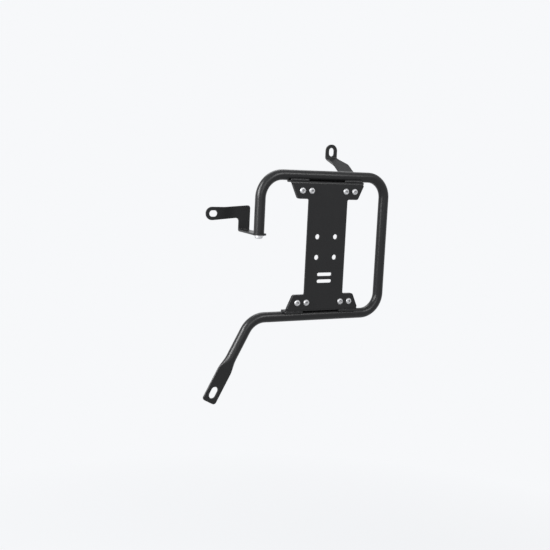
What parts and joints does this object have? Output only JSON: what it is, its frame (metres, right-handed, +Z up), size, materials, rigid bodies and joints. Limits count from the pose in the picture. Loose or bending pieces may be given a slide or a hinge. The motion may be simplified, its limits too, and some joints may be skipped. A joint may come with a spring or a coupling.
{
  "type": "motorcycle pannier frame",
  "caption": "Side pannier frame: a bent tube loop with a slotted flattened leg, a screwed flared backplate, a welded rear tab and a bolted front arm.",
  "frame": {"origin": "middle of the four pannier holes, on the outer face of the backplate", "axes": "+X to the rear of the bike, +Y inwards to the bike, +Z up"},
  "size_m": [0.3508, 0.0888, 0.4469],
  "materials": {
    "powder_coat": "satin black powder coat with a fine grain",
    "bright_steel": "bright zinc plated",
    "plain_steel": "plain turned"
  },
  "bodies": {
    "root": {"loop_tube": "powder_coat", "tube_end_bush": "plain_steel", "backplate": "powder_coat", "upper_bracket": "powder_coat", "lower_bracket": "powder_coat", "front_arm": "powder_coat", "rear_tab": "powder_coat", "front_arm_washer": "bright_steel", "front_arm_bolt": "bright_steel", "upper_screw_1": "bright_steel", "upper_washer_1": "bright_steel", "upper_nut_1": "bright_steel", "upper_screw_2": "bright_steel", "upper_washer_2": "bright_steel", "upper_nut_2": "bright_steel", "upper_screw_3": "bright_steel", "upper_washer_3": "bright_steel", "upper_nut_3": "bright_steel", "upper_screw_4": "bright_steel", "upper_washer_4": "bright_steel", "upper_nut_4": "bright_steel", "lower_screw_1": "bright_steel", "lower_washer_1": "bright_steel", "lower_nut_1": "bright_steel", "lower_screw_2": "bright_steel", "lower_washer_2": "bright_steel", "lower_nut_2": "bright_steel", "lower_screw_3": "bright_steel", "lower_washer_3": "bright_steel", "lower_nut_3": "bright_steel", "lower_screw_4": "bright_steel", "lower_washer_4": "bright_steel", "lower_nut_4": "bright_steel"}
  },
  "joints": []
}
